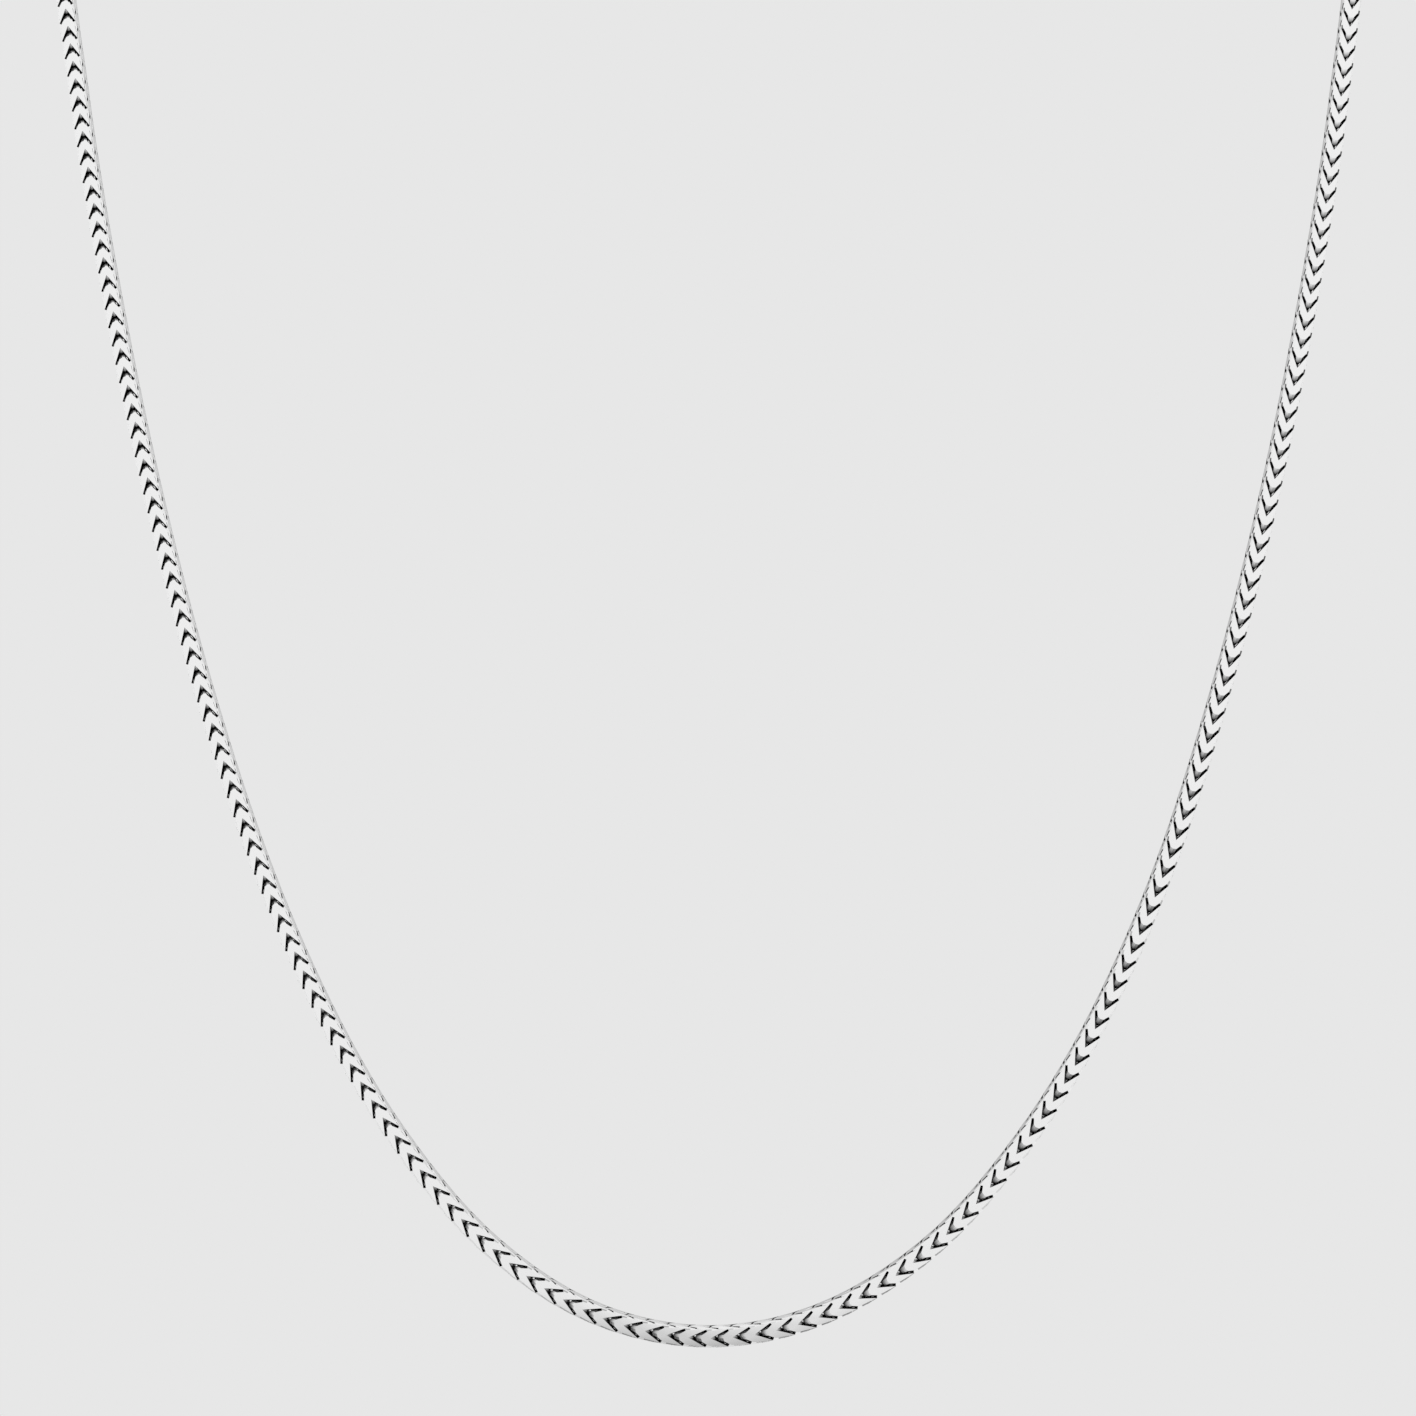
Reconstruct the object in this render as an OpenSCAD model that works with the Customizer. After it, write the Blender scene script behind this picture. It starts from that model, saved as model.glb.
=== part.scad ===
// Franco chain necklace, worn: a square chain that hangs as a U in front and goes round the neck to a
// barrel clasp at the nape. Millimetres, +Z up, the front towards -Y. The origin is on the clasp's
// inner side, where it lies against the nape.

/* [Chain] */
// Width across opposite flat faces of the chain
chain_w = 2; // [1.6:0.1:2.2]
// How far each long corner of the chain is cut back
corner_cut = 0.3; // [0.2:0.05:0.4]

/* [Clasp] */
// Length of the whole clasp
clasp_len = 12; // [10:0.5:14]
// Diameter of the barrel
barrel_d = 4; // [3.8:0.1:5]
// Length of the barrel between the two collars
barrel_len = 8; // [6:0.5:9]
// Radius of the barrel's shoulders
shoulder_r = 0.6; // [0.3:0.1:0.8]
// Diameter of the collar at each end
collar_d = 3.4; // [3.3:0.1:3.6]
// Depth of the socket that takes each end of the chain
socket_depth = 1.2; // [0.8:0.1:1.5]

/* [Fit] */
// Play between the chain and its socket
play = 0.1; // [0.05:0.05:0.15]

/* [Hidden] */

// Place of the clasp's axis: back from the front, and up from the lowest link
nape_back = 109.5;
nape_up = 193.5;
// One side of the loop, from the lowest link in front to the end in the clasp. The columns are the
// distance out from the middle, back from the front, up from the lowest link, the angle by which the
// broad face has turned from looking forwards to looking up, and how far the middle lies to the side.
side = [
    [0, 0, 0, 0, 0],
    [11.7, 0.7, 2.3, 0, 0],
    [22.6, 2.6, 9, 0, 0.2],
    [31.8, 5.5, 19, 0, 0.3],
    [39.7, 9.2, 31.2, 0, 0.4],
    [47.2, 14, 47, 0, 0.4],
    [54, 20, 66, 0, 0.3],
    [60.1, 26.9, 87, 0, 0.2],
    [65.4, 34.4, 109, 0, 0.1],
    [69.9, 42.2, 131.5, 0, 0],
    [73, 51, 153, 8, -0.1],
    [71, 64, 170.5, 28, 0],
    [62.5, 81, 182, 50, 0],
    [47, 95.5, 188.5, 62, 0],
    [27, 105.5, 192, 66, 0],
    [clasp_len / 2 - socket_depth + play, nape_back, nape_up, 66, 0]
];
// The face looks away from a point this far behind the chain, at this height
face_far = 800;
face_up = 64;

// A stretch between two points gets three rings if it is longer than this, and else two
long_stretch = 20;
// Smoothness of the turned clasp
turned_fn = 96;
// Half diagonal of the chain, over its cut corners, which has to pass into the sockets
chain_reach = norm([chain_w / 2, chain_w / 2 - corner_cut]);
socket_r = chain_reach + play;

// The whole route from the wearer's right, at the photo's left, round the front to the other side
last = len(side) - 1;
function place(p, hand) = [hand * p[0] + p[4], p[1], p[2], p[3]];
route = [for (i = [last:-1:1]) place(side[i], -1), for (i = [0:last]) place(side[i], 1)];

// A point past an end, placed so that the chain enters its socket straight
function past(end, before) = [2 * end[0] - before[0], before[1], before[2], before[3]];
ends = len(route) - 1;
guide = [past(route[0], route[1]), for (p = route) p, past(route[ends], route[ends - 1])];

// Smooth curve through b and c, with a before and d after them, at t from 0 to 1
function smooth(a, b, c, d, t) =
    b + t / 2 * (c - a + t * (2 * a - 5 * b + 4 * c - d + t * (3 * (b - c) + d - a)));
function along(i, t) = smooth(guide[i], guide[i + 1], guide[i + 2], guide[i + 3], t);
function steps(i) = norm(spot(route[i + 1]) - spot(route[i])) > long_stretch ? 3 : 2;
line = [
    for (i = [0:ends - 1], k = [0:steps(i) - 1]) along(i, k / steps(i)),
    route[ends]
];

function spot(p) = [p[0], p[1] - nape_back + barrel_d / 2, p[2] - nape_up];
function unit(v) = v / norm(v);
count = len(line);
// Direction of the chain at each ring. The two end rings stand square to the clasp's axis
function run(i) =
    i == 0 || i == count - 1 ? [-1, 0, 0] : unit(spot(line[i + 1]) - spot(line[i - 1]));
// Direction in which the broad face looks
function look(p) = [p[0] / face_far, -cos(p[3]), sin(p[3]) + (p[2] - face_up) / face_far];
function face(i) = unit(look(line[i]) - (look(line[i]) * run(i)) * run(i));

// Section of the tube: a square with cut corners, as sideways and outwards distances
half = chain_w / 2;
flat = half - corner_cut;
section = [
    [half, -flat], [half, flat], [flat, half], [-flat, half],
    [-half, flat], [-half, -flat], [-flat, -half], [flat, -half]
];
sides = len(section);
function ring(i) = [
    for (q = section) spot(line[i]) + q[0] * cross(face(i), run(i)) + q[1] * face(i)
];

module chain() {
    color("silver")
    polyhedron(
        points = [for (i = [0:count - 1]) each ring(i)],
        faces = [
            [for (k = [0:sides - 1]) k],
            [for (k = [sides - 1:-1:0]) (count - 1) * sides + k],
            for (i = [0:count - 2], k = [0:sides - 1]) let (n = (k + 1) % sides)
                [i * sides + k, (i + 1) * sides + k, (i + 1) * sides + n, i * sides + n]
        ]
    );
}

// Half outline of the clasp, which turns about the Y axis
module clasp_outline() {
    barrel_r = barrel_d / 2;
    difference() {
        union() {
            translate([0, -clasp_len / 2]) square([collar_d / 2, clasp_len]);
            translate([0, -barrel_len / 2]) square([barrel_r - shoulder_r, barrel_len]);
            translate([0, shoulder_r - barrel_len / 2]) square([barrel_r, barrel_len - 2 * shoulder_r]);
            for (end = [-1, 1])
                translate([barrel_r - shoulder_r, end * (barrel_len / 2 - shoulder_r)])
                    circle(shoulder_r, $fn = turned_fn);
        }
        for (end = [-1, 1])
            translate([0, end * (clasp_len - socket_depth) / 2 - socket_depth / 2])
                square([socket_r, socket_depth]);
    }
}

module clasp() {
    color("silver")
    translate([0, barrel_d / 2, 0])
        rotate([0, 90, 0])
            rotate_extrude($fn = turned_fn) clasp_outline();
}

chain();
clasp();
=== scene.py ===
"""Franco chain necklace: polished links along the worn route, a turned clasp, and a plain studio."""

import math

import bmesh
import bpy
from mathutils import Matrix, Vector


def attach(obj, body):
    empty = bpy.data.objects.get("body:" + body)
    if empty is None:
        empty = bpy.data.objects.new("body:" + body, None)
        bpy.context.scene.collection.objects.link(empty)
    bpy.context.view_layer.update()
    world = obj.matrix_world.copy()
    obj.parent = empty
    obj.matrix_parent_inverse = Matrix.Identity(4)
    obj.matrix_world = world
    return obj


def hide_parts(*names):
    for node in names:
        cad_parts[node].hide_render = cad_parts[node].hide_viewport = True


bl_info = {
    "name": "Franco Chain Necklace",
    "version": (1, 0, 0),
    "blender": (4, 5, 0),
    "location": "View3D > Sidebar > Necklace",
    "description": "Builds the links, the clasp's finish and a plain studio round the necklace",
    "category": "Object",
}

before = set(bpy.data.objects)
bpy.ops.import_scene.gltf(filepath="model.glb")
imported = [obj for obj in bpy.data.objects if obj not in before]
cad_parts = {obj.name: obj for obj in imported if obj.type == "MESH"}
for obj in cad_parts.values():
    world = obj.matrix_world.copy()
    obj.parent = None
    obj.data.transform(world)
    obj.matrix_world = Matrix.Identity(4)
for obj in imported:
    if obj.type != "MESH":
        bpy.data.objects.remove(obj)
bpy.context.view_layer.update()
MM = 0.001

# One side of the loop, from the lowest link in front to the end in the clasp, in metres. The columns
# are the distance out from the middle, back from the front, up from the lowest link, the angle in
# degrees by which the broad face has turned from looking forwards to looking up, and how far the
# middle lies to the side.
SIDE = [
    (0, 0, 0, 0, 0),
    (0.0117, 0.0007, 0.0023, 0, 0),
    (0.0226, 0.0026, 0.009, 0, 0.0002),
    (0.0318, 0.0055, 0.019, 0, 0.0003),
    (0.0397, 0.0092, 0.0312, 0, 0.0004),
    (0.0472, 0.014, 0.047, 0, 0.0004),
    (0.054, 0.02, 0.066, 0, 0.0003),
    (0.0601, 0.0269, 0.087, 0, 0.0002),
    (0.0654, 0.0344, 0.109, 0, 0.0001),
    (0.0699, 0.0422, 0.1315, 0, 0),
    (0.073, 0.051, 0.153, 8, -0.0001),
    (0.071, 0.064, 0.1705, 28, 0),
    (0.0625, 0.081, 0.182, 50, 0),
    (0.047, 0.0955, 0.1885, 62, 0),
    (0.027, 0.1055, 0.192, 66, 0),
    (0.0049, 0.1095, 0.1935, 66, 0),
]
# Place of the clasp's axis on the route: back from the front, and up from the lowest link
NAPE_BACK = 0.1095
NAPE_UP = 0.1935
BARREL_RADIUS = 0.002
# The face looks away from a point this far behind the chain, at this height
FACE_FAR = 0.8
FACE_UP = 0.064

# A quarter of one link in millimetres, from the middle of its fold over the nose and down the leg to the
# middle of its bow. Each section of the wire is four corners: the outer and inner ends of its top edge,
# then the inner and outer ends of its underside. A corner is its distance across the face from the
# middle, out from the chain's core, and along the chain from the nose.
LINK_QUARTER = [
    # Middle of the fold, then the bevel of the nose and the start of the flat face
    ((0.22, 0.00, 0.05), (0.00, 0.00, 0.00), (0.00, 0.00, 0.90), (0.24, 0.00, 0.90)),
    ((0.24, 0.72, 0.10), (0.00, 0.72, 0.02), (0.00, 0.46, 0.85), (0.32, 0.48, 0.85)),
    ((0.34, 1.00, 0.62), (0.00, 1.00, 0.52), (0.00, 0.62, 0.98), (0.42, 0.68, 0.98)),
    # Crotch where the face parts into two legs, then the leg's end on the chain's corner
    ((0.74, 1.00, 1.26), (0.00, 1.00, 1.50), (0.00, 0.64, 1.50), (0.83, 0.77, 1.30)),
    ((0.94, 0.91, 3.80), (0.90, 0.96, 3.24), (0.60, 0.60, 2.95), (0.94, 0.72, 3.70)),
    # Shoulder and middle of the bow, which shows in the crotch of the next link
    ((0.36, 0.74, 4.07), (0.30, 0.93, 3.64), (0.24, 0.46, 3.62), (0.34, 0.44, 4.01)),
    ((0.00, 0.72, 4.22), (0.00, 0.92, 3.76), (0.00, 0.46, 3.74), (0.00, 0.42, 4.16)),
]
# Corners of a link that lie closer together than this, in millimetres, are one
MERGE = 0.0001
# Edges of a link that turn more sharply than this are creases
CREASE = math.radians(12)
# The chain's links are this many meshes, one for each side of the loop
STRETCHES = 2
# A face that lies less than this deep between the links, in millimetres, and whose angle to the chain's
# nearest side has a cosine above this, is kept clear of the painted shade
UNSHADED_DEPTH = 0.25
UNSHADED_TILT = 0.93

# Values between which a noise texture mostly stays
NOISE_LOW = 0.3
NOISE_HIGH = 0.7
# The clasp's lathe lines: how many times rougher the dullest is than the brightest, how many times
# they are joined by lines half as wide, their depth as a share of their spacing, and its strength
LINES_DULLER = 3
LINES_DETAIL = 3
LINES_DEPTH = 0.05
LINES_STRENGTH = 0.4

# Brightness of the surround by how far a direction rises, from straight down at -1 to straight up at 1
SKY = [(-1, 0.22), (-0.6, 0.25), (-0.42, 0.4), (-0.29, 0.66), (-0.15, 0.86), (0.66, 0.92), (1, 1)]
# Dark cards round the necklace, for its faces to reflect: degrees round from the front towards +X,
# degrees up, the angles from a card's middle where it is full and where it has faded, and the share
# of the light that it leaves
CARDS = [(-90, -15, 28, 45, 0.5), (-157, 5, 17, 26, 0.6), (160, 5, 17, 26, 0.7), (84, 52, 22, 31, 0.1)]
# The floor is a disc of this radius about this point, below all that the photograph shows
FLOOR_RADIUS = 0.2
FLOOR_MIDDLE = (0, -0.05, -0.32)
# The camera stands this far to the side of the lowest link, and its sensor has this width in millimetres
CAMERA_ASIDE = -0.00015
SENSOR_WIDTH = 36


def linear(hex_colour):
    """An sRGB hex colour as the linear RGBA that nodes take."""
    parts = [int(hex_colour[i : i + 2], 16) / 255 for i in (1, 3, 5)]
    return [c / 12.92 if c <= 0.04045 else ((c + 0.055) / 1.055) ** 2.4 for c in parts] + [1.0]


def add_node(tree, kind, settings=None, inputs=None, links=None):
    """Adds one node with its settings, its input values, and links as {input: output socket}."""
    node = tree.nodes.new(kind)
    for name, value in (settings or {}).items():
        setattr(node, name, value)
    for name, value in (inputs or {}).items():
        node.inputs[name].default_value = value
    for name, socket in (links or {}).items():
        tree.links.new(socket, node.inputs[name])
    return node


def new_material(name):
    """An empty node material with its output node."""
    material = bpy.data.materials.new(name)
    material.use_nodes = True
    material.node_tree.nodes.clear()
    return material, add_node(material.node_tree, "ShaderNodeOutputMaterial")


def polished_silver():
    """Sterling silver, milled flat and buffed: a near white mirror, with painted shade that grows darker
    with depth between the links.
    """
    look = bpy.context.scene.necklace_finish
    material, output = new_material("polished_silver")
    tree = material.node_tree
    recess = add_node(tree, "ShaderNodeAttribute", {"attribute_name": "recess"})
    shade = add_node(tree, "ShaderNodeValToRGB", links={"Fac": recess.outputs["Fac"]})
    # A place on the ramp is a depth in millimetres: painted shade, grey on the walls and near black deep
    # between the links
    ramp = shade.color_ramp
    ramp.elements[0].position = look.buffed_depth
    ramp.elements[0].color = linear(look.buffed)
    ramp.elements[1].position = look.full_shade_depth
    ramp.elements[1].color = linear(look.painted_shade)
    ramp.elements.new(look.wall_shade_depth).color = linear(look.wall_shade)
    # Faces marked clear of the painted shade keep the plain silver colour
    unshaded = add_node(tree, "ShaderNodeAttribute", {"attribute_name": "buffed"})
    colour = add_node(
        tree,
        "ShaderNodeMixRGB",
        inputs={"Color2": linear(look.buffed)},
        links={"Fac": unshaded.outputs["Fac"], "Color1": shade.outputs["Color"]},
    )
    dulled = add_node(
        tree,
        "ShaderNodeMapRange",
        inputs={
            "From Max": look.full_shade_depth,
            "To Min": look.roughness,
            "To Max": look.deep_roughness,
        },
        links={"Value": recess.outputs["Fac"]},
    )
    surface = add_node(
        tree,
        "ShaderNodeBsdfPrincipled",
        inputs={"Metallic": 1.0},
        links={"Base Color": colour.outputs["Color"], "Roughness": dulled.outputs["Result"]},
    )
    tree.links.new(surface.outputs["BSDF"], output.inputs["Surface"])
    return material


def turned_silver():
    """The same silver, turned on the lathe: fine lines run round it, drawn coarse enough to show."""
    look = bpy.context.scene.necklace_finish
    material, output = new_material("turned_silver")
    tree = material.node_tree
    place = add_node(tree, "ShaderNodeTexCoord").outputs["Object"]
    along = add_node(tree, "ShaderNodeSeparateXYZ", links={"Vector": place}).outputs["X"]
    lines = add_node(
        tree,
        "ShaderNodeTexNoise",
        {"noise_dimensions": "1D"},
        inputs={"Scale": 1 / look.lathe_spacing, "Detail": LINES_DETAIL},
        links={"W": along},
    )
    sheen = add_node(
        tree,
        "ShaderNodeMapRange",
        inputs={
            "From Min": NOISE_LOW,
            "From Max": NOISE_HIGH,
            "To Min": look.roughness,
            "To Max": LINES_DULLER * look.roughness,
        },
        links={"Value": lines.outputs["Fac"]},
    )
    grooves = add_node(
        tree,
        "ShaderNodeBump",
        inputs={"Strength": LINES_STRENGTH, "Distance": LINES_DEPTH * look.lathe_spacing},
        links={"Height": lines.outputs["Fac"]},
    )
    surface = add_node(
        tree,
        "ShaderNodeBsdfPrincipled",
        inputs={"Base Color": linear(look.buffed), "Metallic": 1.0},
        links={"Roughness": sheen.outputs["Result"], "Normal": grooves.outputs["Normal"]},
    )
    tree.links.new(surface.outputs["BSDF"], output.inputs["Surface"])
    return material


def pale_paper(colour):
    """Seamless studio paper: matt, pale and even."""
    material, output = new_material("pale_paper")
    tree = material.node_tree
    surface = add_node(
        tree, "ShaderNodeBsdfPrincipled", inputs={"Base Color": linear(colour), "Roughness": 0.9}
    )
    tree.links.new(surface.outputs["BSDF"], output.inputs["Surface"])
    return material


def on_route(row, hand):
    """A row of the route's table on one side of the loop, as its place and its face's turn in radians."""
    out, back, up, turn, aside = row
    place = (hand * out + aside, back - NAPE_BACK + BARREL_RADIUS, up - NAPE_UP)
    return Vector((*place, math.radians(turn)))


def smooth(a, b, c, d, t):
    """The smooth curve through b and c, with a before and d after them, at t from 0 to 1."""
    return b + t / 2 * (c - a + t * (2 * a - 5 * b + 4 * c - d + t * (3 * (b - c) + d - a)))


def chain_line(steps=40):
    """Points along the whole route, each with its face's turn, in so many steps from row to row."""
    route = [on_route(row, -1) for row in SIDE[:0:-1]] + [on_route(row, 1) for row in SIDE]
    before = Vector((2 * route[0].x - route[1].x, *route[1][1:]))
    after = Vector((2 * route[-1].x - route[-2].x, *route[-2][1:]))
    guide = [before] + route + [after]
    line = [smooth(*guide[i : i + 4], k / steps) for i in range(len(route) - 1) for k in range(steps)]
    return line + [route[-1]]


def line_length(line):
    """Length of the route."""
    return sum((b.xyz - a.xyz).length for a, b in zip(line, line[1:]))


def face_direction(point, run):
    """Where the chain's broad face looks at a point of the route, square to its run."""
    up = point.z + NAPE_UP
    look = Vector((point.x / FACE_FAR, -math.cos(point.w), math.sin(point.w) + (up - FACE_UP) / FACE_FAR))
    return (look - look.dot(run) * run).normalized()


def frames_along(line, distances):
    """A matrix at each distance: X across the face, Y out of it and Z along the chain."""
    frames = []
    walked = 0.0
    wanted = iter(distances)
    goal = next(wanted)
    for a, b in zip(line, line[1:]):
        length = (b.xyz - a.xyz).length
        while goal is not None and goal <= walked + length:
            point = a.lerp(b, (goal - walked) / length)
            run = (b.xyz - a.xyz).normalized()
            face = face_direction(point, run)
            axes = Matrix((face.cross(run), face, run)).transposed()
            frames.append(Matrix.Translation(point.xyz) @ axes.to_4x4())
            goal = next(wanted, None)
        walked += length
    return frames


def link_section(bm, corners):
    """One four-sided section of a link's wire."""
    section = bmesh.ops.create_circle(bm, segments=4, radius=1)["verts"]
    for v, corner in zip(section, corners):
        v.co = corner
    return section


def link_shape():
    """One link in millimetres, centred: a ring of wire, folded over itself, with a bow out of each face."""
    bm = bmesh.new()
    previous = None
    for corners in LINK_QUARTER:
        section = link_section(bm, corners)
        edges = list({e for v in section for e in v.link_edges})
        if previous:
            bmesh.ops.bridge_loops(bm, edges=previous + edges)
        previous = edges
    # Faces on the middle plane would be walls inside the whole link
    walls = [f for f in bm.faces if all(abs(v.co.x) < MERGE for v in f.verts)]
    bmesh.ops.delete(bm, geom=walls, context="FACES")
    for axis in ("X", "Y"):
        bmesh.ops.mirror(bm, geom=bm.verts[:] + bm.edges[:] + bm.faces[:], merge_dist=MERGE, axis=axis)
    bmesh.ops.remove_doubles(bm, verts=bm.verts, dist=MERGE)
    bmesh.ops.recalc_face_normals(bm, faces=bm.faces)
    for edge in bm.edges:
        edge.smooth = edge.calc_face_angle() < CREASE
    for face in bm.faces:
        face.smooth = True
    reach = max(v.co.z for v in bm.verts)
    bmesh.ops.translate(bm, vec=(0, 0, -reach / 2), verts=bm.verts)
    return bm


def nearest_side(co):
    """How deep a point of the section lies below the chain's nearest side, and that side's direction."""
    sizes = bpy.context.scene.necklace_sizes
    half = sizes.chain_width / 2 / MM
    cut = sizes.corner_cut / MM
    across = math.copysign(1, co.x)
    outwards = math.copysign(1, co.y)
    below_corner = (2 * half - cut - abs(co.x) - abs(co.y)) / math.sqrt(2)
    sides = (
        (half - abs(co.x), Vector((across, 0, 0))),
        (half - abs(co.y), Vector((0, outwards, 0))),
        (below_corner, Vector((across, outwards, 0)).normalized()),
    )
    return min(sides, key=lambda side: side[0])


def clear_of_painted_shade(face):
    """Whether a face is kept clear of the painted shade: it lies near a side of the chain and looks the same
    way.
    """
    depth, outwards = nearest_side(face.calc_center_median())
    return depth < UNSHADED_DEPTH and face.normal.dot(outwards) > UNSHADED_TILT


def link_mesh():
    """The link as a mesh, with its corners' depths and whether each face is clear of the painted shade, for
    the silver.
    """
    shape = link_shape()
    # Depth of each corner between the links, from which the silver paints shade
    depths = [max(0.0, nearest_side(v.co)[0]) for v in shape.verts]
    # Faces marked 1 keep the plain silver colour; the others take the painted shade by depth
    unshaded_faces = [float(clear_of_painted_shade(f)) for f in shape.faces]
    mesh = bpy.data.meshes.new("one_link")
    shape.to_mesh(mesh)
    shape.free()
    mesh.attributes.new("recess", "FLOAT", "POINT").data.foreach_set("value", depths)
    mesh.attributes.new("buffed", "FLOAT", "FACE").data.foreach_set("value", unshaded_faces)
    return mesh


def mesh_piece(name, bm):
    """A finished object at the origin from a bmesh, in the scene's collection."""
    mesh = bpy.data.meshes.new(name)
    bm.to_mesh(mesh)
    bm.free()
    piece = bpy.data.objects.new(name, mesh)
    bpy.context.scene.collection.objects.link(piece)
    return piece


def links_piece(name, one_link, frames, first):
    """A stretch of the chain as one mesh: a link in each frame, every other one turned a quarter."""
    bm = bmesh.new()
    for i, place in enumerate(frames):
        quarter = Matrix.Rotation(math.radians(90 * ((first + i) % 2)), 4, "Z")
        before = len(bm.verts)
        bm.from_mesh(one_link)
        bm.verts.ensure_lookup_table()
        matrix = place @ quarter @ Matrix.Scale(MM, 4)
        bmesh.ops.transform(bm, matrix=matrix, verts=bm.verts[before:])
    return mesh_piece(name, bm)


class NecklaceSizes(bpy.types.PropertyGroup):
    """Sizes of the chain and its links"""

    chain_width: bpy.props.FloatProperty(
        name="Chain width", description="Width across opposite flat faces", default=0.002, unit="LENGTH"
    )
    corner_cut: bpy.props.FloatProperty(
        name="Corner cut", description="How far each long corner is cut back", default=0.0003, unit="LENGTH"
    )
    link_pitch: bpy.props.FloatProperty(
        name="Link pitch",
        description="Distance between two links that face the same way",
        default=0.002214,
        unit="LENGTH",
    )


class NecklaceFinish(bpy.types.PropertyGroup):
    """Colours and roughness of the silver, and of the shade painted between the links"""

    buffed: bpy.props.StringProperty(
        name="Buffed silver", description="Colour of the milled faces", default="#f7f7f7"
    )
    # Painted shade: the darkest colour, deep between the links
    painted_shade: bpy.props.StringProperty(
        name="Tarnish", description="Colour deep between the links", default="#141414"
    )
    # Painted shade on the walls between links, part of the way down
    wall_shade: bpy.props.StringProperty(
        name="Wall", description="Colour of the walls between links, part of the way down", default="#6c6c6c"
    )
    buffed_depth: bpy.props.FloatProperty(
        name="Buffed depth", description="Depth in millimetres to which the walls are bright", default=0.04
    )
    wall_shade_depth: bpy.props.FloatProperty(
        name="Wall depth", description="Depth in millimetres of the wall's colour", default=0.27
    )
    full_shade_depth: bpy.props.FloatProperty(
        name="Tarnish depth", description="Depth in millimetres of full tarnish", default=0.4
    )
    roughness: bpy.props.FloatProperty(
        name="Roughness", description="Roughness of the buffed faces", default=0.08, subtype="FACTOR"
    )
    deep_roughness: bpy.props.FloatProperty(
        name="Tarnish roughness",
        description="Roughness deep between the links",
        default=0.4,
        subtype="FACTOR",
    )
    lathe_spacing: bpy.props.FloatProperty(
        name="Lathe spacing",
        description="Distance between the clasp's lathe lines",
        default=0.0004,
        unit="LENGTH",
    )


class NecklaceStudio(bpy.types.PropertyGroup):
    """The camera's place and lens, and the backdrop"""

    camera_distance: bpy.props.FloatProperty(
        name="Camera distance",
        description="From the lens to the lowest link, level with the floor",
        default=0.45,
        unit="LENGTH",
    )
    camera_height: bpy.props.FloatProperty(
        name="Camera height", description="Lens above the lowest link", default=0.06375, unit="LENGTH"
    )
    lens: bpy.props.FloatProperty(
        name="Lens", description="Focal length in millimetres", default=112.72, unit="CAMERA"
    )
    backdrop: bpy.props.StringProperty(
        name="Backdrop", description="Colour behind the necklace and of the floor", default="#e7e7e7"
    )


class NECKLACE_OT_links(bpy.types.Operator):
    """Lays the interlocked links along the worn route, in place of the plain tube"""

    bl_idname = "necklace.links"
    bl_label = "Add the links"

    def execute(self, context):
        one_link = link_mesh()
        line = chain_line()
        length = line_length(line)
        link_length = 2 * max(v.co.z for v in one_link.vertices) * MM
        step = context.scene.necklace_sizes.link_pitch / 2
        fitting = int((length - link_length) / step) + 1
        # One link more at each end, so the chain starts full inside the clasp
        count = fitting + 2
        first = (length - (count - 1) * step) / 2
        frames = frames_along(line, [first + i * step for i in range(count)])
        if len(frames) != count:
            raise RuntimeError("The route is too short for its links")
        finish = polished_silver()
        for part in range(STRETCHES):
            low = count * part // STRETCHES
            high = count * (part + 1) // STRETCHES
            piece = links_piece(f"links_{part + 1}", one_link, frames[low:high], low)
            piece.data.materials.append(finish)
            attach(piece, "root")
            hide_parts("chain")
        bpy.data.meshes.remove(one_link)
        return {"FINISHED"}


class NECKLACE_OT_clasp(bpy.types.Operator):
    """Gives the turned clasp its finish"""

    bl_idname = "necklace.clasp"
    bl_label = "Finish the clasp"

    def execute(self, context):
        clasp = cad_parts["clasp"]
        clasp.data.materials.clear()
        clasp.data.materials.append(turned_silver())
        return {"FINISHED"}


class NECKLACE_OT_studio(bpy.types.Operator):
    """Sets up the floor, the soft light and the camera"""

    bl_idname = "necklace.studio"
    bl_label = "Set up the studio"

    def execute(self, context):
        studio = context.scene.necklace_studio
        add_floor(studio)
        soft_surround(studio)
        add_camera(studio)
        context.scene.view_settings.view_transform = "Standard"
        return {"FINISHED"}


def add_floor(studio):
    """A pale floor below the hanging chain."""
    bm = bmesh.new()
    bmesh.ops.create_circle(bm, cap_ends=True, segments=96, radius=FLOOR_RADIUS)
    bmesh.ops.translate(bm, vec=FLOOR_MIDDLE, verts=bm.verts)
    floor = mesh_piece("floor", bm)
    floor.data.materials.append(pale_paper(studio.backdrop))


def grey(value):
    """An even grey as the RGBA that nodes take."""
    return (value, value, value, 1.0)


def compass(turn, rise):
    """The direction so many degrees round from the front towards +X, and so many degrees up."""
    around = math.radians(turn)
    up = math.radians(rise)
    return (math.sin(around) * math.cos(up), -math.cos(around) * math.cos(up), math.sin(up))


def light_past_card(tree, direction, card):
    """The share of the light that one dark card leaves in each direction."""
    turn, rise, inner, outer, left = card
    towards = add_node(
        tree,
        "ShaderNodeVectorMath",
        {"operation": "DOT_PRODUCT"},
        inputs={1: compass(turn, rise)},
        links={0: direction},
    )
    share = add_node(
        tree,
        "ShaderNodeMapRange",
        {"interpolation_type": "SMOOTHSTEP"},
        inputs={
            "From Min": math.cos(math.radians(outer)),
            "From Max": math.cos(math.radians(inner)),
            "To Min": 1.0,
            "To Max": left,
        },
        links={"Value": towards.outputs["Value"]},
    )
    return share.outputs["Result"]


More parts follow.
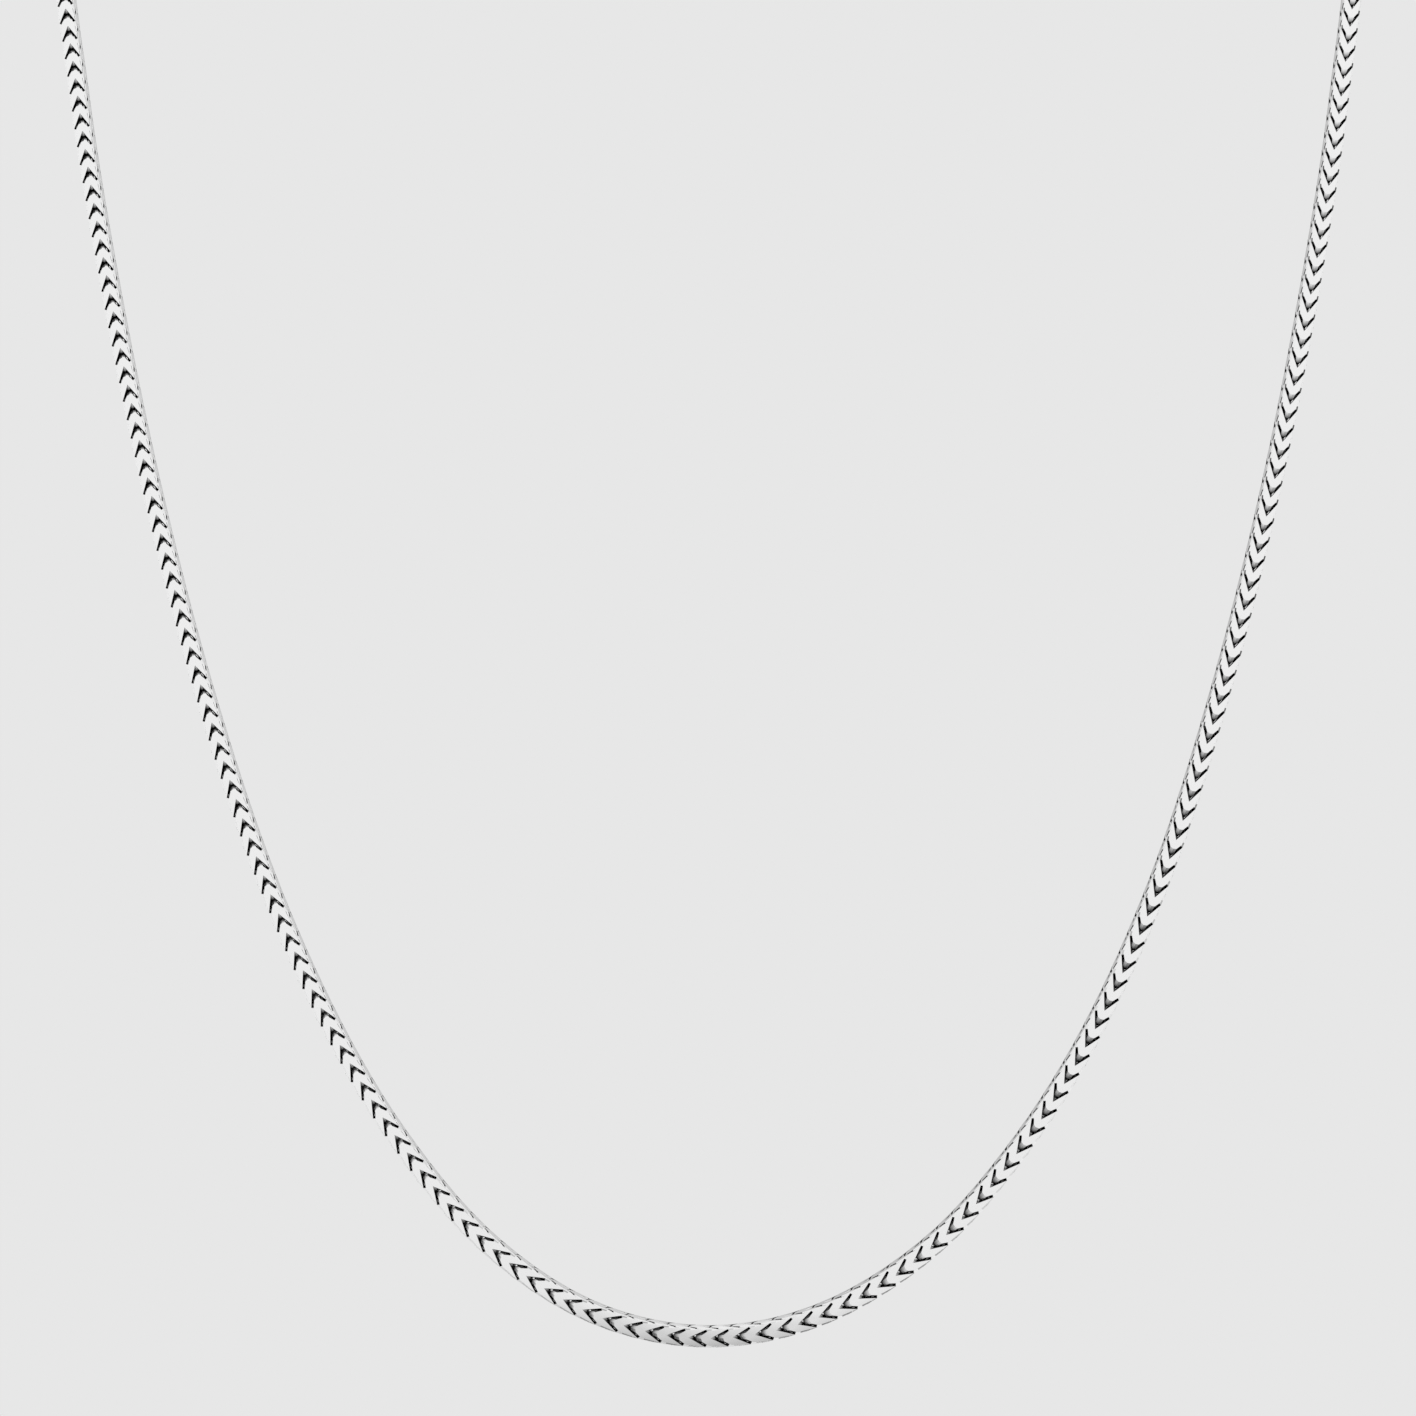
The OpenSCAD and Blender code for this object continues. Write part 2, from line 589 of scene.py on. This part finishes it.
def soft_surround(studio):
    """Soft white light all round, darker below and on the cards. The camera sees a plain backdrop."""
    world = bpy.data.worlds.new("soft_surround")
    bpy.context.scene.world = world
    world.use_nodes = True
    tree = world.node_tree
    tree.nodes.clear()
    direction = add_node(tree, "ShaderNodeTexCoord").outputs["Generated"]
    parts = add_node(tree, "ShaderNodeSeparateXYZ", links={"Vector": direction})
    height = add_node(
        tree,
        "ShaderNodeMapRange",
        inputs={"From Min": -1.0, "From Max": 1.0},
        links={"Value": parts.outputs["Z"]},
    )
    shade = add_node(tree, "ShaderNodeValToRGB", links={"Fac": height.outputs["Result"]})
    ramp = shade.color_ramp
    ramp.elements[0].color = grey(SKY[0][1])
    ramp.elements[1].color = grey(SKY[-1][1])
    for rise, value in SKY[1:-1]:
        ramp.elements.new((rise + 1) / 2).color = grey(value)
    level = light_past_card(tree, direction, CARDS[0])
    for card in CARDS[1:]:
        share = light_past_card(tree, direction, card)
        both = add_node(tree, "ShaderNodeMath", {"operation": "MULTIPLY"}, links={0: level, 1: share})
        level = both.outputs["Value"]
    light = add_node(
        tree, "ShaderNodeBackground", links={"Color": shade.outputs["Color"], "Strength": level}
    )
    backdrop = add_node(tree, "ShaderNodeBackground", inputs={"Color": linear(studio.backdrop)})
    path = add_node(tree, "ShaderNodeLightPath")
    mixed = add_node(tree, "ShaderNodeMixShader", links={0: path.outputs["Is Camera Ray"]})
    tree.links.new(light.outputs["Background"], mixed.inputs[1])
    tree.links.new(backdrop.outputs["Background"], mixed.inputs[2])
    add_node(tree, "ShaderNodeOutputWorld", links={"Surface": mixed.outputs["Shader"]})


def add_camera(studio):
    """The photograph's camera: level, in front of the lowest link and above it."""
    lens = bpy.data.cameras.new("camera")
    lens.sensor_width = SENSOR_WIDTH
    lens.lens = studio.lens
    lens.clip_start = 0.01
    camera = bpy.data.objects.new("camera", lens)
    bpy.context.scene.collection.objects.link(camera)
    lowest = on_route(SIDE[0], 1)
    camera.location = (
        CAMERA_ASIDE,
        lowest.y - studio.camera_distance,
        lowest.z + studio.camera_height,
    )
    camera.rotation_euler = (math.radians(90), 0, 0)
    bpy.context.scene.camera = camera


class NECKLACE_PT_panel(bpy.types.Panel):
    """Lists the necklace's steps"""

    bl_label = "Necklace"
    bl_idname = "NECKLACE_PT_panel"
    bl_space_type = "VIEW_3D"
    bl_region_type = "UI"
    bl_category = "Necklace"

    def draw(self, context):
        for step in ("necklace.links", "necklace.clasp", "necklace.studio"):
            self.layout.operator(step)


CLASSES = (
    NecklaceSizes,
    NecklaceFinish,
    NecklaceStudio,
    NECKLACE_OT_links,
    NECKLACE_OT_clasp,
    NECKLACE_OT_studio,
    NECKLACE_PT_panel,
)


def register():
    for part in CLASSES:
        bpy.utils.register_class(part)
    bpy.types.Scene.necklace_sizes = bpy.props.PointerProperty(type=NecklaceSizes)
    bpy.types.Scene.necklace_finish = bpy.props.PointerProperty(type=NecklaceFinish)
    bpy.types.Scene.necklace_studio = bpy.props.PointerProperty(type=NecklaceStudio)


def unregister():
    del bpy.types.Scene.necklace_studio
    del bpy.types.Scene.necklace_finish
    del bpy.types.Scene.necklace_sizes
    for part in reversed(CLASSES):
        bpy.utils.unregister_class(part)


def main():
    register()
    bpy.ops.necklace.links()
    bpy.ops.necklace.clasp()
    bpy.ops.necklace.studio()


if __name__ == "__main__":
    main()
